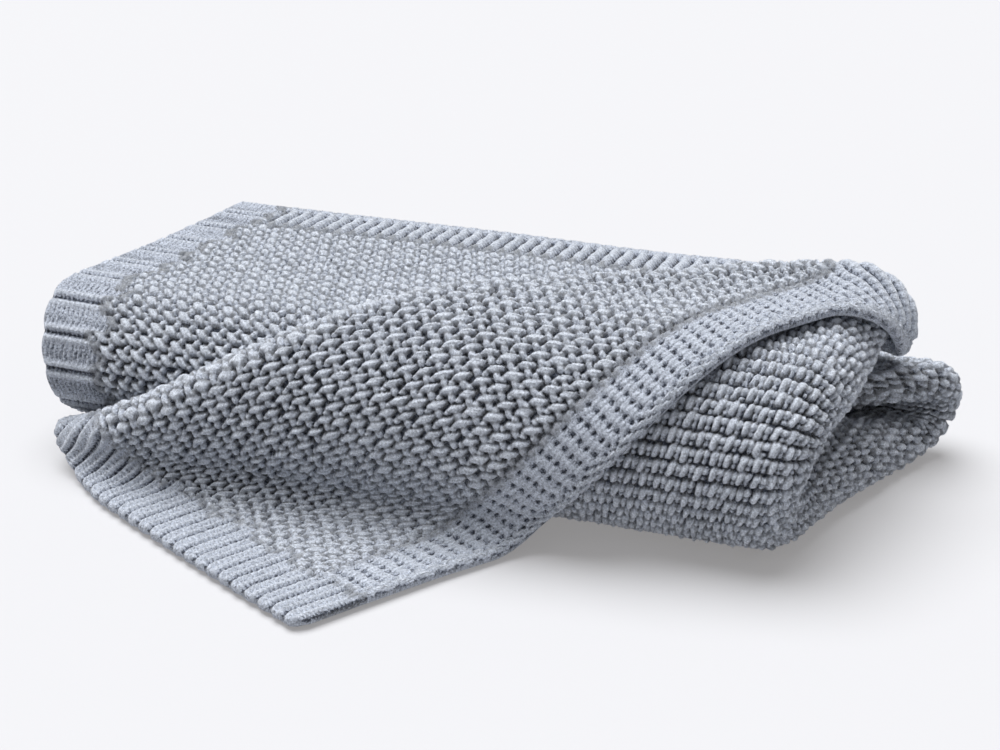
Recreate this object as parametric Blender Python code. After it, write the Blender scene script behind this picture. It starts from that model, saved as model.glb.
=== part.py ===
"""Chunky knit throw, folded in half along its columns and in half twice
across them, with its top back corner turned over the front onto the table.

One closed sheet.  Cloth coordinates are a, along the knit columns from the
cast-on end to the cast-off end, and b, across them from the side edge that
lies at the back of the stack.  The stack is eight layers: an outer layer
(a up to half the length) and an inner one, joined at the spine on the right.
X runs to the spine, Y to the back, Z up; metres.
"""
import bpy
import numpy as np

LENGTH = 1.52            # along the columns
WIDTH = 1.27             # across the columns
SHEET = 0.016            # thickness of the knit
STEP = 0.0263            # from one layer to the next
SPINE = LENGTH / 2       # fold line at the right end
DEPTH = 0.323            # front roll to back edge
END_X = 0.777            # where the spine reaches, before the row offsets

LAYERS_UNDER_TOP = 7
TOP_Z = SHEET / 2 + LAYERS_UNDER_TOP * STEP
FRONT_R = LAYERS_UNDER_TOP * STEP / 2
BACK_R = 1.5 * STEP
CURL_R = 0.5 * STEP
LIFT_RUN = 0.20          # the spine lifts over this length
CLOSE_RUN = 0.08         # the inner layer closes up to the outer one over this
INNER_START = 0.02       # past the spine, where the inner layer begins to shift
INNER_RUN = 0.25         # and over what length
TOP_RUN = DEPTH - FRONT_R
CURL_Y = 3.6 * STEP
BACK_AT = TOP_RUN + np.pi * FRONT_R + DEPTH - BACK_R - FRONT_R + np.pi * BACK_R / 2
CURL_AT = BACK_AT + np.pi * (BACK_R + CURL_R) / 2 + DEPTH - BACK_R - CURL_Y

# Right and left ends of the stack, a row per place across the cloth.
# Columns: distance from the back edge, radius of the spine fold, how far the
# spine reaches past END_X, how far it lifts off the layers below, where the
# left edge lies.
ENDS = (
    (0.00, 0.0290, 0.019, 0.000, 0.086),
    (0.12, 0.0320, 0.015, 0.000, 0.045),
    (0.24, 0.0340, 0.010, 0.000, -0.006),
    (0.34, 0.0340, -0.009, 0.000, 0.004),
    (0.44, 0.0340, -0.028, 0.000, 0.014),
    (0.53, 0.0350, -0.011, 0.000, 0.030),
    (0.60, 0.0330, 0.013, 0.000, 0.020),
    (0.65, 0.0265, 0.035, 0.000, 0.020),
    (0.69, 0.0160, 0.046, 0.000, 0.020),
    (0.73, 0.0122, 0.072, 0.006, 0.020),
    (0.80, 0.0122, 0.088, 0.016, 0.020),
    (0.84, 0.0122, 0.072, 0.018, 0.020),
    (0.89, 0.0122, -0.035, 0.012, 0.020),
    (0.96, 0.0125, -0.095, 0.000, 0.020),
    (1.05, 0.0132, -0.135, 0.000, 0.020),
    (1.27, 0.0132, -0.145, 0.000, 0.030),
)

# Turned corner: its fold line runs from the left end, FOLD_B from the side
# edge, to the side edge, FOLD_A from the left end.
FOLD_B = 0.4525
FOLD_A = 0.883
FOLD_SLOPE = FOLD_B / FOLD_A
FOLD_ANGLE = np.arctan(FOLD_SLOPE)
RIDGE_R = 0.013          # radius of the fold
FLAP_STEP = 0.020        # height of the flap over the layer below it
SETTLE_R = 0.15          # how softly the flap settles behind the ridge
SETTLE_RUN = 0.07        # from the front roll, where the ridge is loose
HANG = np.radians(110)   # slope of the hanging part, tucked in under the roll
HANG_LOW = 0.35          # share of that slope where the ridge is at the table
HANG_HEIGHT = 0.07       # height of the ridge from which the slope is full
FOOT_R = 0.032           # bend where the flap meets the table

# Where the side edge is gathered at the right end: place along the edge,
# reach along it, reach across the cloth, how far the edge is drawn in.
GATHER_A = 0.80
GATHER_ALONG = 0.075
GATHER_ACROSS = 0.085
GATHER_PULL = 0.024

CORNER_PULL = 0.015      # how far the back right corner is drawn forward
TURN_END = 0.12          # past the spine, where the turned corner ends

# Slow unevenness of the stack: place x, place y, reach, rise.
SWELLS = (
    (0.10, 0.10, 0.16, -0.030),
    (0.42, 0.30, 0.18, 0.020),
    (0.70, 0.08, 0.12, 0.020),
    (0.70, 0.30, 0.12, 0.045),
)

# Grid of the sheet: steps along the columns, across the turned corner, and
# across the rest.
COLUMN_STEPS = 49
CORNER_STEPS = 28
STACK_STEPS = 29


def ease(t):
    """Smooth step from 0 to 1."""
    t = np.clip(t, 0, 1)
    return t * t * (3 - 2 * t)


def end_values(b):
    """Spine radius, reach and lift, and left edge at b, softened between rows."""
    rows = np.array(ENDS)
    taps = (-0.030, -0.015, 0.0, 0.015, 0.030)
    return [sum(np.interp(b + tap, rows[:, 0], rows[:, column]) for tap in taps) / len(taps)
            for column in (1, 2, 3, 4)]


def walk(distance, y, z, heading, path):
    """Point and heading after walking along a path of (length, curvature)."""
    y, z, heading = (value + 0 * distance for value in (y, z, heading))
    left = distance
    for number, (length, curvature) in enumerate(path):
        last = number == len(path) - 1
        run = np.maximum(left, 0) if last else np.clip(left, 0, length)
        turn = run * curvature
        chord = run * np.sinc(turn / (2 * np.pi))
        y = y + chord * np.cos(heading + turn / 2)
        z = z + chord * np.sin(heading + turn / 2)
        heading = heading + turn
        left = left - length
    return y, z, heading


def stack_section(q):
    """Outer layer seen from the right end: top, front roll, bottom, back
    fold, middle and inner curl."""
    path = (
        (TOP_RUN, 0.0),
        (np.pi * FRONT_R, 1 / FRONT_R),
        (DEPTH - BACK_R - FRONT_R, 0.0),
        (np.pi * BACK_R, 1 / BACK_R),
        (DEPTH - BACK_R - CURL_Y, 0.0),
        (np.pi * CURL_R, -1 / CURL_R),
        (WIDTH, 0.0),
    )
    return walk(q, DEPTH, TOP_Z, np.pi, path)


def inner_place(a, b):
    """Where the inner layer lies along the outer one, so that its own front
    roll, which is tighter, isn't squeezed; it joins the outer at the spine."""
    inner_roll = np.pi * (FRONT_R - STEP)
    roll_end = TOP_RUN + inner_roll
    outer_end = TOP_RUN + np.pi * FRONT_R
    on_roll = TOP_RUN + (b - TOP_RUN) * FRONT_R / (FRONT_R - STEP)
    after = outer_end + (b - roll_end) * (WIDTH - outer_end) / (WIDTH - roll_end)
    free = np.where(b < TOP_RUN, b, np.where(b < roll_end, on_roll, after))
    return b + (free - b) * ease((a - SPINE - INNER_START) / INNER_RUN)


def folded(a, b):
    """Neat stack without the turned corner."""
    radius, reach, lift, left_x = end_values(b)
    bend_start = SPINE - np.pi / 2 * radius
    bend_end = SPINE + np.pi / 2 * radius
    angle = np.clip((a - bend_start) / radius, 0, np.pi)
    before = np.maximum(bend_start - a, 0)
    after = np.maximum(a - bend_end, 0)
    bend_x = END_X + reach - radius
    run = (bend_x - left_x) / bend_start
    x = bend_x - (before + after) * run + radius * np.sin(angle)
    open_end = 1 - ease(after / CLOSE_RUN)
    inward = np.where(after > 0, STEP + (2 * radius - STEP) * open_end,
                      radius * (1 - np.cos(angle)))
    y, z, heading = stack_section(inner_place(a, b))
    lift = lift * ease((x - END_X) / LIFT_RUN + 1)
    return x, y - inward * np.sin(heading), z + inward * np.cos(heading) + lift


def turned(a, b):
    """Turned corner: up over the ridge, back over the stack and down to the
    table.  The fourth value says how far past the fold line the point is."""
    past = np.maximum(-(a * np.sin(FOLD_ANGLE) + (b - FOLD_B) * np.cos(FOLD_ANGLE)), 0)
    along = a * np.cos(FOLD_ANGLE) - (b - FOLD_B) * np.sin(FOLD_ANGLE)
    loop_r = RIDGE_R * np.cos(FOLD_ANGLE)
    loop = np.pi * loop_r
    reach = np.where(past < loop, -loop_r * np.sin(past / loop_r), past - loop)
    station = along * np.cos(FOLD_ANGLE) + reach * np.sin(FOLD_ANGLE)
    fold_b = FOLD_B - station * FOLD_SLOPE

    start_y, start_z, heading = stack_section(fold_b)
    slope = heading - np.pi
    hang = HANG * (HANG_LOW + (1 - HANG_LOW) * ease(start_z / HANG_HEIGHT))
    leave = np.minimum(slope, hang)
    run = np.maximum(TOP_RUN - fold_b, 0)
    height = 2 * RIDGE_R - ease(run / SETTLE_RUN) * (2 * RIDGE_R - FLAP_STEP)
    dip = np.arccos(1 - (2 * RIDGE_R - height) / (RIDGE_R + SETTLE_R))
    path = [
        (RIDGE_R * (np.pi + leave - slope + dip), 1 / RIDGE_R),
        (SETTLE_R * dip, -1 / SETTLE_R),
        (np.maximum(run - (RIDGE_R + SETTLE_R) * np.sin(dip), 0), 0.0),
        ((FRONT_R + height) * (hang - leave), 1 / (FRONT_R + height)),
    ]
    so_far = sum(length for length, curvature in path)
    fall = walk(so_far, start_y, start_z, slope, path + [(1.0, 0.0)])[1] - SHEET / 2
    foot = np.minimum(FOOT_R, 0.8 * np.maximum(fall, 1e-4) / (1 - np.cos(hang)))
    drop = (fall - foot * (1 - np.cos(hang))) / np.sin(hang)
    path += [(drop, 0.0), (foot * hang, -1 / foot), (WIDTH, 0.0)]
    y, z, heading = walk(past / np.cos(FOLD_ANGLE), start_y, start_z, slope, path)

    radius, end_reach, lift, left_x = end_values(np.clip(fold_b, 0, FOLD_B))
    bend_start = SPINE - np.pi / 2 * radius
    angle = np.clip((station - bend_start) / radius, 0, np.pi)
    bend_x = END_X + end_reach - radius
    over = radius + z - TOP_Z
    off_bend = np.maximum(bend_start - station, 0) + np.maximum(station - SPINE * 2 + bend_start, 0)
    x = bend_x - off_bend * (bend_x - left_x) / bend_start + over * np.sin(angle)
    z = np.where(angle > 0, TOP_Z - radius + over * np.cos(angle), z)
    return x, y, z, past


def settle(x, y, z):
    """Slow rises and dips, and the back right corner drawn forward."""
    swell = sum(rise * np.exp(-((x - at_x) ** 2 + (y - at_y) ** 2) / reach ** 2)
                for at_x, at_y, reach, rise in SWELLS)
    upper = ease((z - 0.35 * TOP_Z) / (0.3 * TOP_Z))
    corner = ease((x - END_X + 0.15) / 0.15) * ease((y - 0.1) / 0.25) * upper
    return x, y - CORNER_PULL * corner, z + (z - SHEET / 2) * swell


def cloth(a, b):
    """Middle of the sheet at cloth coordinates a, b, as an array of points."""
    a, b = np.broadcast_arrays(np.asarray(a, float), np.asarray(b, float))
    b = b + GATHER_PULL * np.exp(-((a - GATHER_A) / GATHER_ALONG) ** 2 - (b / GATHER_ACROSS) ** 2)
    x, y, z = folded(a, b)
    turned_x, turned_y, turned_z, past = turned(a, b)
    corner = (past > 0) & (a < SPINE + TURN_END)
    x = np.where(corner, turned_x, x)
    y = np.where(corner, turned_y, y)
    z = np.where(corner, turned_z, z)
    return np.stack(settle(x, y, z), axis=-1)


def cloth_normal(a, b):
    """Unit normal of the sheet, from small steps along a and b."""
    small = 2e-4
    along = cloth(a + small, b) - cloth(a - small, b)
    across = cloth(a, b + small) - cloth(a, b - small)
    normal = np.cross(along, across)
    return normal / np.linalg.norm(normal, axis=-1, keepdims=True)


def spread(count, low, high, peaks):
    """count + 1 places from low to high, denser at the peaks, each given as
    (centre, reach, strength)."""
    fine = np.linspace(low, high, 2001)
    density = 1 + sum(strength * np.exp(-((fine - centre) / reach) ** 2)
                      for centre, reach, strength in peaks)
    total = np.concatenate(([0], np.cumsum((density[1:] + density[:-1]) / 2)))
    return np.interp(np.linspace(0, total[-1], count + 1), total, fine)


def foot_place(a, edge):
    """Where the turned corner meets the table in the column at a, and 1, or 0
    where it doesn't."""
    b = np.linspace(0, edge, 200)
    low = cloth(a, b)[:, 2] < SHEET / 2 + 0.3 * FOOT_R
    return (b[low].max(), 1) if low.any() and a < SPINE else (0, 0)


def sheet_places():
    """Grid of cloth coordinates: columns along a, rows that follow the fold
    line of the turned corner."""
    a_places = spread(COLUMN_STEPS, 0, LENGTH, [(SPINE, 0.07, 5.5)])
    fold_b = np.maximum(FOLD_B - a_places * FOLD_SLOPE, 0.07)
    back = ease((a_places - 0.80) / 0.5)
    fold_b = fold_b + (0.30 - fold_b) * back
    bends = [(TOP_RUN + np.pi * FRONT_R / 2, 0.12, 0.8),
             (BACK_AT, 0.06, 3.0), (CURL_AT - 0.012, 0.035, 6.0)]
    rows = []
    for a, edge in zip(a_places, fold_b):
        ridge = edge - 0.025
        foot, meets = foot_place(a, edge)
        upper = spread(CORNER_STEPS, 0, edge, [(ridge, 0.045, 3.5 * (1 - back[len(rows)])),
                                               (foot, 0.030, 2.0 * meets)])
        lower = spread(STACK_STEPS, edge, WIDTH, bends)
        rows.append(np.concatenate((upper, lower[1:])))
    return np.repeat(a_places[:, None], CORNER_STEPS + STACK_STEPS + 1, axis=1), np.array(rows)


def build_blanket():
    """Closed sheet from the grid: both faces and the rim."""
    a, b = sheet_places()
    middle = cloth(a, b)
    normal = cloth_normal(a, b)
    points = np.concatenate([(middle + side * normal * SHEET / 2).reshape(-1, 3)
                             for side in (1, -1)])
    points[:, 2] = np.maximum(points[:, 2], 0)
    columns, rows = a.shape
    number = np.arange(columns * rows).reshape(columns, rows)
    quads = np.stack([number[1:, :-1], number[1:, 1:], number[:-1, 1:], number[:-1, :-1]],
                     axis=-1).reshape(-1, 4)
    below = quads[:, (0, 3, 2, 1)] + columns * rows
    rim = np.concatenate([number[:, 0], number[-1, 1:], number[-2::-1, -1], number[0, -2:0:-1]])
    after = np.roll(rim, -1)
    walls = np.stack([rim, rim + columns * rows, after + columns * rows, after], axis=-1)
    faces = np.concatenate([quads, below, walls])
    triangles = np.concatenate([faces[:, (0, 1, 2)], faces[:, (0, 2, 3)]])
    low, high = points.min(axis=0), points.max(axis=0)
    points -= [(low[0] + high[0]) / 2, (low[1] + high[1]) / 2, low[2]]
    mesh = bpy.data.meshes.new("blanket")
    mesh.from_pydata(points.tolist(), [], triangles.tolist())
    mesh.validate()
    blanket = bpy.data.objects.new("blanket", mesh)
    bpy.context.scene.collection.objects.link(blanket)
    return blanket


def knit_material():
    """Blue-grey acrylic and wool knit."""
    material = bpy.data.materials.new("knit")
    material.use_nodes = True
    shader = material.node_tree.nodes["Principled BSDF"]
    shader.inputs["Base Color"].default_value = (0.33, 0.37, 0.45, 1)
    shader.inputs["Roughness"].default_value = 0.9
    shader.inputs["Metallic"].default_value = 0.0
    return material


for thing in list(bpy.data.objects):
    bpy.data.objects.remove(thing)
blanket = build_blanket()
blanket.data.materials.append(knit_material())
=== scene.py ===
"""Chunky knit throw, folded into a stack with one corner turned over the front."""
import bpy
import numpy as np
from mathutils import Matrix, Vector


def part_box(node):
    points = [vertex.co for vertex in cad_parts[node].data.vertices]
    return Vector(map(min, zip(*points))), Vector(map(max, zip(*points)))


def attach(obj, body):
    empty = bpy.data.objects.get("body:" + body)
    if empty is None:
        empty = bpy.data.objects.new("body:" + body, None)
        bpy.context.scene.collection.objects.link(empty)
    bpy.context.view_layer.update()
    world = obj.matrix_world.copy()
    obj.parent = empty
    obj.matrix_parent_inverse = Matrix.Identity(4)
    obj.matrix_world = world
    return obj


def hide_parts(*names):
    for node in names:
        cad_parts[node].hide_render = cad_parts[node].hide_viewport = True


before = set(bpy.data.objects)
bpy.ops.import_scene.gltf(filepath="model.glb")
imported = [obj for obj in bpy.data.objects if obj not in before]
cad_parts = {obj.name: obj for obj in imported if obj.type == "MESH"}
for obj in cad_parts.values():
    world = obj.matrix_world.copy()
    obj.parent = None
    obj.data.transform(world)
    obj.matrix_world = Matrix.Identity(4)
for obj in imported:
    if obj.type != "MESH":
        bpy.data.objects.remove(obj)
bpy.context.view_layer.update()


# Fold of the throw.
# One knitted sheet of 127 x 152 cm, folded in half along its columns and in
# half twice across them.  The top back corner is turned over the front.
# Cloth coordinates: a runs along the columns from the cast-on end, b across
# them from the side edge that lies at the back.

LENGTH = 1.52            # along the columns
WIDTH = 1.27             # across the columns
SHEET = 0.016            # thickness of the plain sheet
STEP = 0.0263            # from one layer to the next
SPINE = LENGTH / 2       # fold line at the right end
DEPTH = 0.323            # front roll to back edge
END_X = 0.777            # where the spine reaches, before the row offsets

LAYERS_UNDER_TOP = 7
TOP_Z = SHEET / 2 + LAYERS_UNDER_TOP * STEP
FRONT_R = LAYERS_UNDER_TOP * STEP / 2
BACK_R = 1.5 * STEP
CURL_R = 0.5 * STEP
LIFT_RUN = 0.20          # the spine lifts over this length
CLOSE_RUN = 0.08         # the inner layer closes up to the outer one over this
INNER_START = 0.02       # past the spine, where the inner layer begins to shift
INNER_RUN = 0.25         # and over what length
TOP_RUN = DEPTH - FRONT_R
CURL_Y = 3.6 * STEP

# Right and left ends of the stack, a row per place across the cloth.
# Columns: distance from the back edge, radius of the spine fold, how far the
# spine reaches past END_X, how far it lifts off the layers below, where the
# left edge lies.
ENDS = (
    (0.00, 0.0290, 0.019, 0.000, 0.086),
    (0.12, 0.0320, 0.015, 0.000, 0.045),
    (0.24, 0.0340, 0.010, 0.000, -0.006),
    (0.34, 0.0340, -0.009, 0.000, 0.004),
    (0.44, 0.0340, -0.028, 0.000, 0.014),
    (0.53, 0.0350, -0.011, 0.000, 0.030),
    (0.60, 0.0330, 0.013, 0.000, 0.020),
    (0.65, 0.0265, 0.035, 0.000, 0.020),
    (0.69, 0.0160, 0.046, 0.000, 0.020),
    (0.73, 0.0122, 0.072, 0.006, 0.020),
    (0.80, 0.0122, 0.088, 0.016, 0.020),
    (0.84, 0.0122, 0.072, 0.018, 0.020),
    (0.89, 0.0122, -0.035, 0.012, 0.020),
    (0.96, 0.0125, -0.095, 0.000, 0.020),
    (1.05, 0.0132, -0.135, 0.000, 0.020),
    (1.27, 0.0132, -0.145, 0.000, 0.030),
)

# Turned corner: its fold line runs from the left end, FOLD_B from the side
# edge, to the side edge, FOLD_A from the left end.
FOLD_B = 0.4525
FOLD_A = 0.883
FOLD_SLOPE = FOLD_B / FOLD_A
FOLD_ANGLE = np.arctan(FOLD_SLOPE)
RIDGE_R = 0.013          # radius of the fold
FLAP_STEP = 0.020        # height of the flap over the layer below it
SETTLE_R = 0.15          # how softly the flap settles behind the ridge
SETTLE_RUN = 0.07        # from the front roll, where the ridge is loose
HANG = np.radians(110)   # slope of the hanging part, tucked in under the roll
HANG_LOW = 0.35          # share of that slope where the ridge is at the table
HANG_HEIGHT = 0.07       # height of the ridge from which the slope is full
FOOT_R = 0.032           # bend where the flap meets the table

# Where the side edge is gathered at the right end: place along the edge,
# reach along it, reach across the cloth, how far the edge is drawn in.
GATHER_A = 0.80
GATHER_ALONG = 0.075
GATHER_ACROSS = 0.085
GATHER_PULL = 0.024

TURN_END = 0.12          # past the spine, where the turned corner ends
FOOT_SHARE = 0.8         # of a low ridge's height that the foot bend may take

# Back right corner, drawn forward: by how much, over what length of the spine
# end, from which y over what depth, from which share of TOP_Z over what share.
CORNER_PULL = 0.015
CORNER_ALONG = 0.15
CORNER_FROM_Y = 0.10
CORNER_DEPTH = 0.25
UPPER_FROM = 0.35
UPPER_RUN = 0.30

# Slow unevenness of the stack: place x, place y, reach, rise.
SWELLS = (
    (0.10, 0.10, 0.16, -0.030),
    (0.42, 0.30, 0.18, 0.020),
    (0.70, 0.08, 0.12, 0.020),
    (0.70, 0.30, 0.12, 0.045),
)

SOFTEN = 0.015           # spacing of the places over which a row of ENDS is evened out
SMALL = 2e-4             # step for the slope of the sheet


def ease(t):
    """Smooth step from 0 to 1."""
    t = np.clip(t, 0, 1)
    return t * t * (3 - 2 * t)


def end_values(b):
    """Spine radius, reach and lift, and left edge at b, softened between rows."""
    rows = np.array(ENDS)
    taps = [SOFTEN * place for place in (-2, -1, 0, 1, 2)]
    return [sum(np.interp(b + tap, rows[:, 0], rows[:, column]) for tap in taps) / len(taps)
            for column in (1, 2, 3, 4)]


def walk(distance, y, z, heading, path):
    """Point and heading after walking along a path of (length, curvature)."""
    y, z, heading = (value + 0 * distance for value in (y, z, heading))
    left = distance
    for number, (length, curvature) in enumerate(path):
        last = number == len(path) - 1
        run = np.maximum(left, 0) if last else np.clip(left, 0, length)
        turn = run * curvature
        chord = run * np.sinc(turn / (2 * np.pi))
        y = y + chord * np.cos(heading + turn / 2)
        z = z + chord * np.sin(heading + turn / 2)
        heading = heading + turn
        left = left - length
    return y, z, heading


def stack_section(q):
    """Outer layer seen from the right end: top, front roll, bottom, back
    fold, middle and inner curl."""
    path = (
        (TOP_RUN, 0.0),
        (np.pi * FRONT_R, 1 / FRONT_R),
        (DEPTH - BACK_R - FRONT_R, 0.0),
        (np.pi * BACK_R, 1 / BACK_R),
        (DEPTH - BACK_R - CURL_Y, 0.0),
        (np.pi * CURL_R, -1 / CURL_R),
        (WIDTH, 0.0),
    )
    return walk(q, DEPTH, TOP_Z, np.pi, path)


def inner_place(a, b):
    """Where the inner layer lies along the outer one, so that its own front
    roll, which is tighter, isn't squeezed; it joins the outer at the spine."""
    inner_roll = np.pi * (FRONT_R - STEP)
    roll_end = TOP_RUN + inner_roll
    outer_end = TOP_RUN + np.pi * FRONT_R
    on_roll = TOP_RUN + (b - TOP_RUN) * FRONT_R / (FRONT_R - STEP)
    after = outer_end + (b - roll_end) * (WIDTH - outer_end) / (WIDTH - roll_end)
    free = np.where(b < TOP_RUN, b, np.where(b < roll_end, on_roll, after))
    return b + (free - b) * ease((a - SPINE - INNER_START) / INNER_RUN)


def folded(a, b):
    """Neat stack without the turned corner."""
    radius, reach, lift, left_x = end_values(b)
    bend_start = SPINE - np.pi / 2 * radius
    bend_end = SPINE + np.pi / 2 * radius
    angle = np.clip((a - bend_start) / radius, 0, np.pi)
    before = np.maximum(bend_start - a, 0)
    after = np.maximum(a - bend_end, 0)
    bend_x = END_X + reach - radius
    run = (bend_x - left_x) / bend_start
    x = bend_x - (before + after) * run + radius * np.sin(angle)
    open_end = 1 - ease(after / CLOSE_RUN)
    inward = np.where(after > 0, STEP + (2 * radius - STEP) * open_end,
                      radius * (1 - np.cos(angle)))
    y, z, heading = stack_section(inner_place(a, b))
    lift = lift * ease((x - END_X) / LIFT_RUN + 1)
    return x, y - inward * np.sin(heading), z + inward * np.cos(heading) + lift


def turned(a, b):
    """Turned corner: up over the ridge, back over the stack and down to the
    table.  The fourth value says how far past the fold line the point is."""
    past = np.maximum(-(a * np.sin(FOLD_ANGLE) + (b - FOLD_B) * np.cos(FOLD_ANGLE)), 0)
    along = a * np.cos(FOLD_ANGLE) - (b - FOLD_B) * np.sin(FOLD_ANGLE)
    loop_r = RIDGE_R * np.cos(FOLD_ANGLE)
    loop = np.pi * loop_r
    reach = np.where(past < loop, -loop_r * np.sin(past / loop_r), past - loop)
    station = along * np.cos(FOLD_ANGLE) + reach * np.sin(FOLD_ANGLE)
    fold_b = FOLD_B - station * FOLD_SLOPE

    start_y, start_z, heading = stack_section(fold_b)
    slope = heading - np.pi
    hang = HANG * (HANG_LOW + (1 - HANG_LOW) * ease(start_z / HANG_HEIGHT))
    leave = np.minimum(slope, hang)
    run = np.maximum(TOP_RUN - fold_b, 0)
    height = 2 * RIDGE_R - ease(run / SETTLE_RUN) * (2 * RIDGE_R - FLAP_STEP)
    dip = np.arccos(1 - (2 * RIDGE_R - height) / (RIDGE_R + SETTLE_R))
    path = [
        (RIDGE_R * (np.pi + leave - slope + dip), 1 / RIDGE_R),
        (SETTLE_R * dip, -1 / SETTLE_R),
        (np.maximum(run - (RIDGE_R + SETTLE_R) * np.sin(dip), 0), 0.0),
        ((FRONT_R + height) * (hang - leave), 1 / (FRONT_R + height)),
    ]
    so_far = sum(length for length, curvature in path)
    fall = walk(so_far, start_y, start_z, slope, path + [(1.0, 0.0)])[1] - SHEET / 2
    foot = np.minimum(FOOT_R, FOOT_SHARE * np.maximum(fall, 1e-4) / (1 - np.cos(hang)))
    drop = (fall - foot * (1 - np.cos(hang))) / np.sin(hang)
    path += [(drop, 0.0), (foot * hang, -1 / foot), (WIDTH, 0.0)]
    y, z, heading = walk(past / np.cos(FOLD_ANGLE), start_y, start_z, slope, path)

    radius, end_reach, lift, left_x = end_values(np.clip(fold_b, 0, FOLD_B))
    bend_start = SPINE - np.pi / 2 * radius
    angle = np.clip((station - bend_start) / radius, 0, np.pi)
    bend_x = END_X + end_reach - radius
    over = radius + z - TOP_Z
    off_bend = np.maximum(bend_start - station, 0) + np.maximum(station - SPINE * 2 + bend_start, 0)
    x = bend_x - off_bend * (bend_x - left_x) / bend_start + over * np.sin(angle)
    z = np.where(angle > 0, TOP_Z - radius + over * np.cos(angle), z)
    return x, y, z, past


def settle(x, y, z):
    """Slow rises and dips, and the back right corner drawn forward."""
    swell = sum(rise * np.exp(-((x - at_x) ** 2 + (y - at_y) ** 2) / reach ** 2)
                for at_x, at_y, reach, rise in SWELLS)
    upper = ease((z - UPPER_FROM * TOP_Z) / (UPPER_RUN * TOP_Z))
    at_end = ease((x - END_X + CORNER_ALONG) / CORNER_ALONG)
    at_back = ease((y - CORNER_FROM_Y) / CORNER_DEPTH)
    return x, y - CORNER_PULL * at_end * at_back * upper, z + (z - SHEET / 2) * swell


def cloth(a, b):
    """Middle of the sheet at cloth coordinates a, b, as an array of points."""
    a, b = np.broadcast_arrays(np.asarray(a, float), np.asarray(b, float))
    b = b + GATHER_PULL * np.exp(-((a - GATHER_A) / GATHER_ALONG) ** 2 - (b / GATHER_ACROSS) ** 2)
    x, y, z = folded(a, b)
    turned_x, turned_y, turned_z, past = turned(a, b)
    corner = (past > 0) & (a < SPINE + TURN_END)
    x = np.where(corner, turned_x, x)
    y = np.where(corner, turned_y, y)
    z = np.where(corner, turned_z, z)
    return np.stack(settle(x, y, z), axis=-1)


def cloth_normal(a, b):
    """Unit normal of the sheet, from small steps along a and b."""
    along = cloth(a + SMALL, b) - cloth(a - SMALL, b)
    across = cloth(a, b + SMALL) - cloth(a, b - SMALL)
    normal = np.cross(along, across)
    return normal / np.linalg.norm(normal, axis=-1, keepdims=True)


def stack_origin():
    """Place of the record's origin in the fold's own coordinates, from the
    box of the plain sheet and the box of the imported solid."""
    a, b = np.meshgrid(np.linspace(0, LENGTH, 153), np.linspace(0, WIDTH, 128), indexing="ij")
    middle, normal = cloth(a, b), cloth_normal(a, b)
    faces = np.concatenate([(middle + side * normal * SHEET / 2).reshape(-1, 3) for side in (1, -1)])
    low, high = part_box("blanket")
    own = (faces.min(axis=0) + faces.max(axis=0)) / 2
    return np.array([own[0] - (low[0] + high[0]) / 2, own[1] - (low[1] + high[1]) / 2, 0])


ORIGIN = stack_origin()

# Stitches.
# Star-like stitches on the inner face of the field and waisted beads on the
# outer, ribbed cast-on and cast-off ends, ridged side borders with rows of
# small holes, and a chain selvedge.  Heights are shares of STITCH_H.

ROWS = 99                # stitches along a
COLUMNS = 88             # stitches along b
PITCH_A = LENGTH / ROWS
PITCH_B = WIDTH / COLUMNS
CORE_H = 0.0026          # half thickness under the deepest crevice
STITCH_H = 0.0074        # height of a bead over that
PLAIN_H = 0.45           # height of a face that doesn't show
LUMPS = 0.07             # unevenness of the yarn
CREVICE_H = 0.03         # between the stitches

# Closer stitches, in stitches more than the even pitch gives: along the turned
# corner, along the bend of the right end, and across the lower fold.
MORE_ROWS = 3.6
CORNER_WIDE = (0.18, 0.10)         # in b: where the turned corner ends, over what width
CORNER_ROWS = (0.33, 0.45)         # in a: where its closer rows start, over what length
BEND_ROWS = (0.51, 0.38)
MORE_LINES = 5.5
LOWER_LINES = (0.80, 0.13)         # in b

# One stitch, in stitches.  Shift of each line against the one before it, slant
# of the bead, its half length and half width, and what one side is shorter by.
INNER_BEAD = (0.50, 0.72, 0.37, 0.41, 0.0)
OUTER_BEAD = (0.22, 0.16, 0.27, 0.50, 0.08)
BEAD_FLARE = 0.50                  # how much longer a bead is at its sides

# Loops beside the bead: middle along and across, half length, half width, height.
NUB = (0.43, 0.20, 0.20, 0.19, 0.94)
LEG = (-0.2416, -0.38, 0.25, 0.34, 0.84)
LEG_SLANT = 0.46
TOP_LOOP = (0.50, -0.16, 0.28, 0.25, 0.88)
FOOT_LOOP = (0.46, 0.28, 0.18, 0.18, 0.60)

# Unevenness from stitch to stitch: place, size, slant, height, place of a loop.
UNEVEN_PLACE = 0.06
UNEVEN_SIZE = 0.10
UNEVEN_SLANT = 0.14
UNEVEN_HEIGHT = 0.12
UNEVEN_LOOP = 0.05

STRANDS = (2.4, 0.25)              # strands of the yarn along a bead and across it


def scatter(row, column, seed):
    """Fixed random share from -1 to 1 for each stitch, from a sine hash."""
    return 2 * np.mod(np.sin(row * 12.9898 + column * 78.233 + seed * 37.719) * 43758.5453, 1) - 1


def ease_over(place, span):
    """Smooth step that starts at span[0] and takes the length span[1]."""
    return ease((place - span[0]) / span[1])


def pillow(u, v):
    """Plump cushion: 1 at the middle, steep at |u| = 1 and |v| = 1."""
    return np.clip(1 - np.abs(u) ** 2.2 - np.abs(v) ** 2.6, 0, 1) ** 0.40


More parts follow.
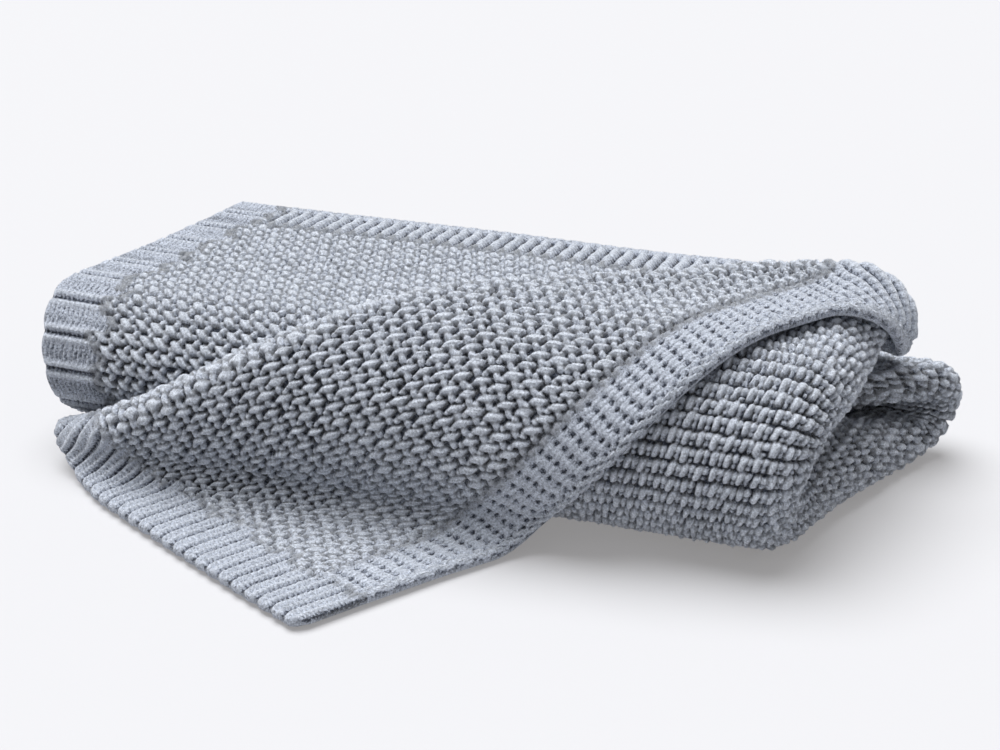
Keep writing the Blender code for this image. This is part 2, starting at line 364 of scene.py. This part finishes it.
def loop(u, v, shape, ahead=0.0, aside=0.0, slant=0.0):
    """Cushion at its shape's middle, moved ahead and aside; slant moves it
    along as it goes across."""
    middle_u, middle_v, half_u, half_v, height = shape
    from_u = u - middle_u - ahead - slant * (v - middle_v)
    from_v = v - middle_v - aside
    return height * pillow(from_u / half_u, from_v / half_v)


def rows_along(a, b):
    """Place along the cloth in stitches, closer on the corner that is turned
    over; the other lines catch up at the bend of the right end."""
    on_corner = 1 - ease_over(b, CORNER_WIDE)
    corner_share = ease_over(a, CORNER_ROWS)
    bend_share = ease_over(a, BEND_ROWS)
    return a / PITCH_A + MORE_ROWS * (bend_share + (corner_share - bend_share) * on_corner)


def lines_across(b):
    """Place across the cloth in stitches, closer in the lower fold."""
    return b / PITCH_B + MORE_LINES * ease_over(b, LOWER_LINES)


def stitch(along, across, column, step_a, inner):
    """One stitch of a line that runs along the cloth.  On the inner face it is
    a star: a slanting bead crossed by a leg, with a nub over it.  On the outer
    face it is a waisted bead with a loop beside its top and its foot.  Gives
    the height of the bead, of its loops, and the phase of its strands."""
    shift, slant, half_u, half_v, shorter = INNER_BEAD if inner else OUTER_BEAD
    drift = np.mod(shift * column, 1)
    row = np.round(along - 0.5 - drift) + step_a
    u = along - (row + 0.5 + drift + UNEVEN_PLACE * scatter(row, column, 1))
    v = across - (column + 0.5 + UNEVEN_PLACE * scatter(row, column, 2))
    lean = UNEVEN_SLANT * scatter(row, column, 3)
    size = 1 + UNEVEN_SIZE * scatter(row, column, 4)
    tall = 1 + UNEVEN_HEIGHT * scatter(row, column, 5)
    leaned = u + (slant + lean) * v
    length = half_u * size + BEAD_FLARE * v ** 2 - shorter * v
    bead = tall * pillow(leaned / length, v / (half_v * size))
    if inner:
        loops = np.maximum(loop(u, v, NUB, ahead=0.5 * lean), loop(u, v, LEG, slant=LEG_SLANT))
    else:
        aside = -UNEVEN_LOOP * scatter(row, column, 7)
        loops = np.maximum(loop(u, v, TOP_LOOP, aside=aside), loop(u, v, FOOT_LOOP))
    strand = STRANDS[0] * leaned + STRANDS[1] * v + scatter(row, column, 6)
    return bead, loops, strand


def field(a, b, inner):
    """Height and strand phase of the stitches nearest to each place."""
    along, across = rows_along(a, b), lines_across(b)
    height = np.full_like(a, CREVICE_H)
    strand = 2 * along
    for step_b in (-1, 0, 1):
        column = np.round(across - 0.5) + step_b
        for step_a in (-1, 0, 1):
            bead, loops, phase = stitch(along, across, column, step_a, inner)
            strand = np.where(bead > height, phase, strand)
            height = np.maximum(height, np.maximum(bead, loops))
    return height, strand


# Ribs of the two ends.  The cast-off end is stretched, so it shows fewer and
# wider ribs.  Places from a cut are shares of half a rib.

END_BORDER = 0.062
START_RIBS = 66                    # along the cast-on end
FINISH_RIBS = 34                   # along the cast-off end
START_WIDER = 1.75                 # how much wider the cords of the cast-on end are
RIB_CORD = (0.28, 0.17)            # middle of a cord and its half width
RIB_BAND = (0.40, 0.20)            # where the band between the cords starts, over what share
RIB_CUT = 0.13                     # half width of a cut
RIB_HEIGHTS = (0.38, 0.40)         # band, and the cords over it
RUNG = (0.0050, 0.15)              # pitch and height of the cross strands
DASH_PITCH = 0.0060                # of the dashes in a cut
DASH_SHARE = 0.24                  # of the depth of a cut
WAVER = (0.07, 41.0)               # how far the cuts wander, in ribs, and how fast along b
SCALLOP = 0.0030                   # how far the end edge draws in at each cut


def from_cut(a, b):
    """Distance from the nearest cut between the ribs: 0 there, 1 mid rib."""
    ribs_here = np.where(a < SPINE, START_RIBS, FINISH_RIBS)
    phase = np.mod(b / WIDTH * ribs_here + WAVER[0] * np.sin(b * WAVER[1]), 1)
    return 2 * np.minimum(phase, 1 - phase)


def ribs(a, b):
    """Low band of cross strands between pairs of raised cords; a dark dashed
    cut parts the two cords of a pair."""
    wide = np.where(a < SPINE, START_WIDER, 1.0)
    off = from_cut(a, b)
    cord = np.exp(-((off / wide - RIB_CORD[0]) / RIB_CORD[1]) ** 2)
    band = ease((off - RIB_BAND[0] * wide) / RIB_BAND[1])
    rungs = RUNG[1] * np.cos(2 * np.pi * (a / RUNG[0] + 0.3 * off + 0.2 * np.sin(b * 211.0)))
    dash = 0.5 + 0.5 * np.cos(2 * np.pi * (a / DASH_PITCH + 0.3 * np.sin(b * 97.0)))
    cut = np.exp(-(off / wide / RIB_CUT) ** 2) * (1 - DASH_SHARE + DASH_SHARE * dash)
    return (RIB_HEIGHTS[0] + rungs * band + (RIB_HEIGHTS[1] + 0.3 * rungs) * cord) * (1 - cut)


# Side borders: bands along each row with rows of small holes between them,
# parted by open grooves from the gather on, and the chain along the edge.

SIDE_BORDER = 0.054
GATHER_WIDER = 0.030               # how much wider the border is at the gather
GATHER_BEFORE = 0.03               # how far before GATHER_A its wide part lies
HOLE_PITCH = 0.56                  # in stitches
GROOVES = (0.66, 0.05)             # in a: where the open grooves start, over what length
CHAIN_W = 0.0110                   # width of the chain
LINKS = 0.8                        # links of the chain per stitch
LINK_SLANT = 1.7                   # slant of a link, in links over the width of the chain
NOTCH = (0.15, 0.80)               # half width and depth of the gap between links
CHAIN_HEIGHTS = (0.28, 0.56)       # edge of a link, and its middle over that
CHAIN_HOLE = (0.85, 0.17, 0.18)    # place across the chain, half length, half width
HOLED_HEIGHTS = (0.42, 0.20, 0.52) # band, its rise to the middle, knobs between holes
GROOVED_HEIGHT = 0.88


def near_gather(a):
    """1 where the side edge is gathered, 0 away from there."""
    return np.exp(-((a - GATHER_A + GATHER_BEFORE) / (1.2 * GATHER_ALONG)) ** 4)


def side_ridges(a, b):
    """A smooth band along each row of stitches, parted by rows of small dark
    holes with knobs between them, and from the gather on by open grooves."""
    along = rows_along(a, b)
    phase = np.mod(along + 0.05 * np.sin(b * 310.0), 1)
    off = 2 * np.minimum(phase, 1 - phase)
    band = ease((off - 0.20) / 0.30)
    knob = 0.5 + 0.5 * np.cos(2 * np.pi * (b / (PITCH_B * HOLE_PITCH) + 0.5 * np.round(along)))
    low, rise, high = HOLED_HEIGHTS
    holed = band * (low + rise * off) + (1 - band) * high * knob ** 0.7
    grooved = GROOVED_HEIGHT * np.sqrt(ease((off - 0.12) / 0.75))
    return holed + (grooved - holed) * ease_over(a, GROOVES)


def chain(a, b, off):
    """Height and strand phase of the slanting links along the edge, with a
    hole at the inner side of each."""
    across = np.clip(off / CHAIN_W, 0, 1)
    along = rows_along(a, b)
    link = np.mod(along * LINKS + LINK_SLANT * across, 1)
    notch = NOTCH[1] * np.exp(-((link - 0.5) / NOTCH[0]) ** 2)
    hole_at, half_long, half_wide = CHAIN_HOLE
    hole = np.exp(-((np.mod(along, 1) - 0.5) / half_long) ** 2 - ((across - hole_at) / half_wide) ** 2)
    section = np.sqrt(np.clip(1 - (2 * across - 1) ** 4, 0, 1))
    height = (CHAIN_HEIGHTS[0] + CHAIN_HEIGHTS[1] * section) * (1 - notch) * (1 - hole)
    return height, 3.2 * across - 0.7 * link


# Whole faces of the sheet.  The stitches are flatter where the turned corner
# lies stretched on the table; the ends and the sides are rounded off.

FLAT_H = 0.62                      # height to which stretched stitches flatten
FLAT_SHARE = 0.45                  # how far they do so
STRETCHED = (0.13, 0.075)          # middle of the stretched place
STRETCHED_REACH = 0.12
CORNER_R = 0.012                   # rounding of the corners of the sheet
SCALLOP_RUN = 0.030                # how far in from the end the scallops reach
END_ROUND = 0.009
SIDE_ROUND = 0.010
WALL_H = 0.65                      # painted shade height at the rim of a plain face, kept pale so that the wall isn't painted dark
HIDDEN_FROM = 0.05                 # from the fold of the corner, where a face is hidden
HIDDEN_RUN = 0.02                  # over what length it gets plain
SPINE_RUN = 0.03                   # past the spine it is seen again
RAGGED = (0.008, 0.009)            # uneven inner end of the ribs: with each rib, and at random
BORDER_BLEND = 0.012               # lengths over which the stitches change at a border
CHAIN_BLEND = 0.0015
RIBS_BLEND = 0.010
LUMPS_PER_M = 5e3                  # how fine the unevenness of the yarn is


def blend(first, second, share):
    """Mixture of two pairs of height and strand phase."""
    share = ease(share)
    return tuple(one + (other - one) * share for one, other in zip(first, second))


def relief(a, b):
    """Depth of the stitches: less where the turned corner is stretched."""
    off = ((a - STRETCHED[0]) ** 2 + (b - STRETCHED[1]) ** 2) / STRETCHED_REACH ** 2
    return 1 - FLAT_SHARE * np.exp(-off ** 2)


def stitches(a, b, inner):
    """Share of STITCH_H and strand phase at each point of a face."""
    end_off = np.minimum(a, LENGTH - a)
    side_off = np.minimum(b, WIDTH - b)
    rib = np.round(b / WIDTH * 2 * START_RIBS)
    ragged = RAGGED[0] * (from_cut(a, b) - 0.5) + RAGGED[1] * scatter(rib, rib, 8)
    border = SIDE_BORDER + GATHER_WIDER * near_gather(a)
    height, strand = field(a, b, inner)
    got = FLAT_H + (height - FLAT_H) * relief(a, b), strand
    ridges = side_ridges(a, b), 3 * b / PITCH_B
    got = blend(got, ridges, (border - side_off) / BORDER_BLEND + 0.5)
    got = blend(got, chain(a, b, side_off), (CHAIN_W - side_off) / CHAIN_BLEND + 0.5)
    got = blend(got, (ribs(a, b), a / RUNG[0] + 0.3 * from_cut(a, b)),
                (END_BORDER + ragged - end_off) / RIBS_BLEND + 0.5)
    lumps = LUMPS * scatter(np.round(a * LUMPS_PER_M), np.round(b * LUMPS_PER_M), 9)
    return got[0] + lumps, got[1]


def showing(a, b, inner):
    """1 where a face shows, 0 where the fold of the corner hides it."""
    off_fold = a * np.sin(FOLD_ANGLE) + (b - FOLD_B) * np.cos(FOLD_ANGLE)
    if inner:
        return np.maximum(ease((HIDDEN_FROM - off_fold) / HIDDEN_RUN),
                          ease((a - SPINE) / SPINE_RUN))
    return ease((off_fold + HIDDEN_FROM) / HIDDEN_RUN)


def drawn_in(a, b):
    """Place along the cloth with the end edges scalloped between the ribs and
    rounded at the corners."""
    notch = (1 - from_cut(a, b)) ** 2 * SCALLOP
    to_corner = np.clip(CORNER_R - np.minimum(b, WIDTH - b), 0, CORNER_R)
    notch = notch + CORNER_R - np.sqrt(CORNER_R ** 2 - to_corner ** 2)
    near_start = 1 - ease(a / SCALLOP_RUN)
    near_end = 1 - ease((LENGTH - a) / SCALLOP_RUN)
    return a + notch * (near_start - near_end)


def face_points(a, b, inner, detailed):
    """Points of a face with their stitch heights and strand phases, rounded
    off at the edges; a face inside the stack is plain."""
    height, strand = stitches(a, b, inner) if detailed else (np.full_like(a, PLAIN_H), 0 * a)
    height = PLAIN_H + (height - PLAIN_H) * showing(a, b, inner)
    end_off = np.minimum(a, LENGTH - a)
    side_off = np.minimum(b, WIDTH - b)
    edge = np.clip(np.minimum(end_off / END_ROUND, side_off / SIDE_ROUND), 0, 1)
    lift = np.maximum(height, 0) * np.sqrt(1 - (1 - edge) ** 2)
    off = (CORE_H + STITCH_H * lift) * (1 if inner else -1)
    placed = drawn_in(a, b)
    points = cloth(placed, b) + off[..., None] * cloth_normal(placed, b)
    points[..., 2] = np.maximum(points[..., 2], 0)
    # This height is what the yarn ramp turns into painted shade and highlight. At the rim of a plain
    # face it is raised so the wall isn't painted dark.
    shade = height if detailed else np.maximum(height, WALL_H * (1 - edge))
    return points - ORIGIN, shade, strand


# Knitted pieces.
# The throw is one sheet knitted from thick spun wool and acrylic yarn.  It is
# cut here into panels along the grooves between its stitches, so that each
# mesh stays small.  Each is a closed slab; a face that shows has a fine grid.

# Grid steps per stitch, along a and along b.
FINE = (10, 8)
CLOSE = (8, 6)
MIDDLE = (6, 6)
COARSE = (4, 4)
PLAIN = (2, 2)

# Panels: name, first and last row, first and last column, grid of the inner
# face, grid of the outer face.
PANELS = (
    ("throw_top_left", 68, 99, 0, 32, FINE, PLAIN),
    ("throw_top_right", 54, 68, 0, 32, FINE, PLAIN),
    ("throw_bend_top", 42, 54, 0, 29, FINE, FINE),
    ("throw_bend_low", 42, 54, 29, 68, PLAIN, CLOSE),
    ("throw_corner_left", 0, 24, 0, 37, FINE, PLAIN),
    ("throw_corner_middle", 24, 42, 0, 20, FINE, PLAIN),
    ("throw_front", 24, 42, 20, 49, PLAIN, FINE),
    ("throw_under_left", 0, 24, 37, 49, PLAIN, MIDDLE),
    ("throw_back_fold", 0, 42, 49, 68, PLAIN, MIDDLE),
    ("throw_inside_start", 0, 6, 68, 88, MIDDLE, MIDDLE),
    ("throw_inside_end", 93, 99, 32, 88, MIDDLE, MIDDLE),
    ("throw_inside_edge", 6, 93, 84, 88, COARSE, COARSE),
    ("throw_inside_outer", 6, 54, 68, 84, PLAIN, PLAIN),
    ("throw_inside_inner", 54, 93, 32, 84, PLAIN, PLAIN),
)


def grid_face(rows, columns, steps, inner):
    """Grid of one face of a panel: points, heights, phases, cloth places."""
    a = np.linspace(rows[0], rows[1], (rows[1] - rows[0]) * steps[0] + 1) * PITCH_A
    b = np.linspace(columns[0], columns[1], (columns[1] - columns[0]) * steps[1] + 1) * PITCH_B
    a, b = np.meshgrid(a, b, indexing="ij")
    points, height, strand = face_points(a, b, inner, steps != PLAIN)
    return points, height, strand, np.stack([a, b], axis=-1)


def outline_of(number):
    """The four sides of a grid of vertex numbers, in order round it."""
    return [number[:, 0], number[-1, :], number[::-1, -1], number[0, ::-1]]


def join_sides(fine, coarse):
    """Triangles between two lines of vertices, one a multiple of the other."""
    ratio = (len(fine) - 1) // (len(coarse) - 1)
    step = np.arange(len(fine) - 1)
    under = coarse[(step + ratio // 2) // ratio]
    near = np.stack([fine[:-1], under, fine[1:]], axis=-1)
    segment = np.arange(len(coarse) - 1)
    turn = fine[np.minimum(segment * ratio + ratio - ratio // 2, len(fine) - 1)]
    far = np.stack([coarse[:-1], coarse[1:], turn], axis=-1)
    return np.concatenate([near, far])


def slab_faces(inner_shape, outer_shape):
    """Quads of both faces and the triangles of the rim between them."""
    inner = np.arange(inner_shape[0] * inner_shape[1]).reshape(inner_shape)
    outer = np.arange(outer_shape[0] * outer_shape[1]).reshape(outer_shape) + inner.size
    quads = []
    for number in (inner, outer[:, ::-1]):
        quads.append(np.stack([number[:-1, :-1], number[1:, :-1], number[1:, 1:],
                               number[:-1, 1:]], axis=-1).reshape(-1, 4))
    walls = []
    for top, under in zip(outline_of(inner), outline_of(outer)):
        if len(top) >= len(under):
            walls.append(join_sides(top, under))
        else:
            walls.append(join_sides(under, top)[:, ::-1])
    return np.concatenate(quads), np.concatenate(walls)


def knit_panel(name, rows, columns, inner_steps, outer_steps):
    """Closed slab with a UV map of cloth coordinates and the stitch height."""
    sides = [grid_face(rows, columns, inner_steps, True),
             grid_face(rows, columns, outer_steps, False)]
    points = np.concatenate([side[0].reshape(-1, 3) for side in sides])
    height = np.concatenate([side[1].ravel() for side in sides])
    strand = np.concatenate([side[2].ravel() for side in sides])
    places = np.concatenate([side[3].reshape(-1, 2) for side in sides])
    quads, walls = slab_faces(sides[0][1].shape, sides[1][1].shape)
    corners = np.concatenate([quads.ravel(), walls.ravel()])
    starts = np.concatenate([np.arange(len(quads)) * 4, len(quads) * 4 + np.arange(len(walls)) * 3])
    mesh = bpy.data.meshes.new(name)
    mesh.vertices.add(len(points))
    mesh.vertices.foreach_set("co", points.ravel())
    mesh.loops.add(len(corners))
    mesh.loops.foreach_set("vertex_index", corners.astype(np.int32))
    mesh.polygons.add(len(starts))
    mesh.polygons.foreach_set("loop_start", starts.astype(np.int32))
    mesh.update(calc_edges=True)
    mesh.validate()
    mesh.polygons.foreach_set("use_smooth", np.ones(len(mesh.polygons), bool))
    layer = mesh.uv_layers.new(name="cloth")
    layer.data.foreach_set("uv", places[corners].ravel())
    # The stitch attribute holds the height that the yarn colour turns into painted shade and
    # highlight.
    mesh.attributes.new("stitch", "FLOAT", "POINT").data.foreach_set("value", height)
    mesh.attributes.new("strand", "FLOAT", "POINT").data.foreach_set("value", strand)
    piece = bpy.data.objects.new(name, mesh)
    bpy.context.scene.collection.objects.link(piece)
    return piece


class Value:
    """A socket that takes part in Python sums; each sum is a Math node."""

    def __init__(self, tree, socket):
        self.tree, self.socket = tree, socket

    def math(self, operation, *others, clamp=False):
        return node(self.tree, "ShaderNodeMath", dict(operation=operation, use_clamp=clamp),
                    self, *others)

    def __add__(self, other):
        return self.math("ADD", other)

    def __mul__(self, other):
        return self.math("MULTIPLY", other)

    def __sub__(self, other):
        return self.math("SUBTRACT", other)

    def __rsub__(self, other):
        return self * -1 + other

    __radd__ = __add__
    __rmul__ = __mul__


def node(tree, kind, settings=None, *inputs, output=0, **named):
    """New node: its settings first, a ramp's stops among them, then its
    sockets by place, where None leaves one as it is, or by name."""
    made = tree.nodes.new(kind)
    for key, value in (settings or {}).items():
        if key == "stops":
            set_stops(made.color_ramp.elements, value)
        else:
            setattr(made, key, value)
    pairs = list(enumerate(inputs)) + [(key.replace("_", " "), value) for key, value in named.items()]
    for key, value in pairs:
        if isinstance(value, Value):
            tree.links.new(value.socket, made.inputs[key])
        elif value is not None:
            made.inputs[key].default_value = value
    return Value(tree, made.outputs[output])


def set_stops(band, stops):
    """Stops of a colour ramp, each a place and a colour."""
    while len(band) < len(stops):
        band.new(0.5)
    for element, (place, colour) in zip(band, stops):
        element.position = place
        element.color = (*colour, 1)


def tinted(tree, colour, share):
    """Colour times a varying share; the colour sockets of a Mix are its
    seventh and eighth, and its colour output is the third."""
    settings = dict(data_type="RGBA", blend_type="MULTIPLY")
    return node(tree, "ShaderNodeMix", settings, 1.0, None, None, None, None, None,
                colour, share, output=2)


# Yarn: colours from the deepest crevice to the top of a stitch, by height. The dark low stops are
# painted shade in the crevices, and the pale top stops are a painted highlight.
YARN_COLOURS_WITH_PAINTED_SHADE = (
    (0.00, (0.014, 0.019, 0.032)),
    (0.18, (0.078, 0.094, 0.134)),
    (0.43, (0.480, 0.525, 0.618)),
    (1.00, (0.640, 0.690, 0.775)),
)
PATCH_SCALE = 22.0       # slow change of shade over the cloth
HEATHER_SCALE = 500.0    # paler and darker flecks in the yarn
FIBRE_SCALE = 520.0      # loose fibres
FLECKS = 2.2
# The stitch weight turns stitch height into painted shade and painted highlight. Heather and patch add
# random tone, and cord adds the strands.
SHADE = dict(stitch=0.86, heather=1.0, patch=0.20, cord=0.14)
SHADE_BASE = -0.04
STRAND_WAVER = 0.60      # how far the flecks bend the strands
FIBRE_RISE = 0.0022      # height of strands and fibres
YARN_FINISH = {
    "Roughness": 0.92,
    "Specular IOR Level": 0.18,
    "Sheen Weight": 0.35,
    "Sheen Roughness": 0.45,
}


def yarn_material():
    """Blue-grey spun yarn, with painted shade darkening the crevices and a painted highlight paling it
    where it stands up, with strands along each stitch and loose fibres as bump."""
    material = bpy.data.materials.new("knit")
    material.use_nodes = True
    tree = material.node_tree
    shader = tree.nodes["Principled BSDF"]
    # The stitch height read here drives painted shade: darker low in the crevices, paler on the raised
    # tops as a painted highlight.
    stitch = node(tree, "ShaderNodeAttribute", dict(attribute_name="stitch"), output=2)
    strand = node(tree, "ShaderNodeAttribute", dict(attribute_name="strand"), output=2)
    spot = node(tree, "ShaderNodeTexCoord", None, output=3)
    patch = node(tree, "ShaderNodeTexNoise", None, Vector=spot, Scale=PATCH_SCALE, Detail=3.0)
    heather = node(tree, "ShaderNodeTexNoise", None, Vector=spot, Scale=HEATHER_SCALE,
                   Detail=4.0, Roughness=0.7)
    fibre = node(tree, "ShaderNodeTexNoise", None, Vector=spot, Scale=FIBRE_SCALE,
                 Detail=5.0, Roughness=0.7)
    turn = strand + (heather - 0.5) * STRAND_WAVER
    cord = (turn * np.pi).math("SINE").math("ABSOLUTE")
    # Its stitch term is the painted shade and highlight. Heather and patch add random tone.
    shade = (stitch * SHADE["stitch"] + (heather - 0.5) * SHADE["heather"]
             + (patch - 0.5) * SHADE["patch"] + cord * SHADE["cord"])
    colour = node(tree, "ShaderNodeValToRGB", dict(stops=YARN_COLOURS_WITH_PAINTED_SHADE),
                  shade.math("ADD", SHADE_BASE, clamp=True))
    flecked = tinted(tree, colour, (heather - 0.5) * FLECKS + 1.0)
    bumped = node(tree, "ShaderNodeBump", None, Strength=0.90, Distance=FIBRE_RISE,
                  Height=cord * 0.7 + fibre * 1.3)
    tree.links.new(flecked.socket, shader.inputs["Base Color"])
    tree.links.new(bumped.socket, shader.inputs["Normal"])
    for socket, value in YARN_FINISH.items():
        shader.inputs[socket].default_value = value
    return material


yarn = yarn_material()
for panel_name, row0, row1, column0, column1, inner_steps, outer_steps in PANELS:
    panel = knit_panel(panel_name, (row0, row1), (column0, column1), inner_steps, outer_steps)
    panel.data.materials.append(yarn)
    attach(panel, "root")
    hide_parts("blanket")
    size = ((column1 - column0) * PITCH_B, (row1 - row0) * PITCH_A)
    size[0] * size[1]


# Floor, light and camera.
# Plain pale paper that glows a little, so that shadows stay light, a large
# soft light from over the left, a weak even fill, and the photograph's angle.

FLOOR_HALF = 6.0
FLOOR_FINISH = {
    "Base Color": (0.384, 0.390, 0.410, 1),
    "Emission Color": (1.0, 0.97, 0.955, 1),
    "Emission Strength": 0.23,
    "Roughness": 0.9,
}
KEY_FROM = (-0.22, 0.08, 1.0)
KEY_SPREAD = 54          # degrees
KEY_STRENGTH = 4.60
FILL_COLOUR = (1.0, 0.985, 0.97, 1)
FILL_STRENGTH = 0.32
CAMERA_AT = (1.1047, -1.8265, 1.1188)      # in the fold's own coordinates
CAMERA_TURN = np.radians(18.637)
CAMERA_RISE = np.radians(26.088)
CAMERA_LENS = 85

floor_mesh = bpy.data.meshes.new("floor")
floor_corners = [(x * FLOOR_HALF, y * FLOOR_HALF, 0) for x, y in ((-1, -1), (1, -1), (1, 1), (-1, 1))]
floor_mesh.from_pydata(floor_corners, [], [(0, 1, 2, 3)])
floor = bpy.data.objects.new("floor", floor_mesh)
bpy.context.scene.collection.objects.link(floor)
paper = bpy.data.materials.new("paper")
paper.use_nodes = True
for socket, value in FLOOR_FINISH.items():
    paper.node_tree.nodes["Principled BSDF"].inputs[socket].default_value = value
floor_mesh.materials.append(paper)

key_lamp = bpy.data.lights.new("key", "SUN")
key_lamp.angle = np.radians(KEY_SPREAD)
key_lamp.energy = KEY_STRENGTH
key_light = bpy.data.objects.new("key", key_lamp)
key_light.rotation_euler = Vector(KEY_FROM).to_track_quat("Z", "Y").to_euler()
bpy.context.scene.collection.objects.link(key_light)

world = bpy.data.worlds.new("studio")
world.use_nodes = True
world.node_tree.nodes["Background"].inputs["Color"].default_value = FILL_COLOUR
world.node_tree.nodes["Background"].inputs["Strength"].default_value = FILL_STRENGTH
bpy.context.scene.world = world

camera_data = bpy.data.cameras.new("camera")
camera_data.sensor_width = 36
camera_data.lens = CAMERA_LENS
camera = bpy.data.objects.new("camera", camera_data)
camera.location = Vector(CAMERA_AT) - Vector(ORIGIN)
camera.rotation_euler = (np.pi / 2 - CAMERA_RISE, 0, CAMERA_TURN)
bpy.context.scene.collection.objects.link(camera)
bpy.context.scene.camera = camera
bpy.context.scene.view_settings.view_transform = "Standard"
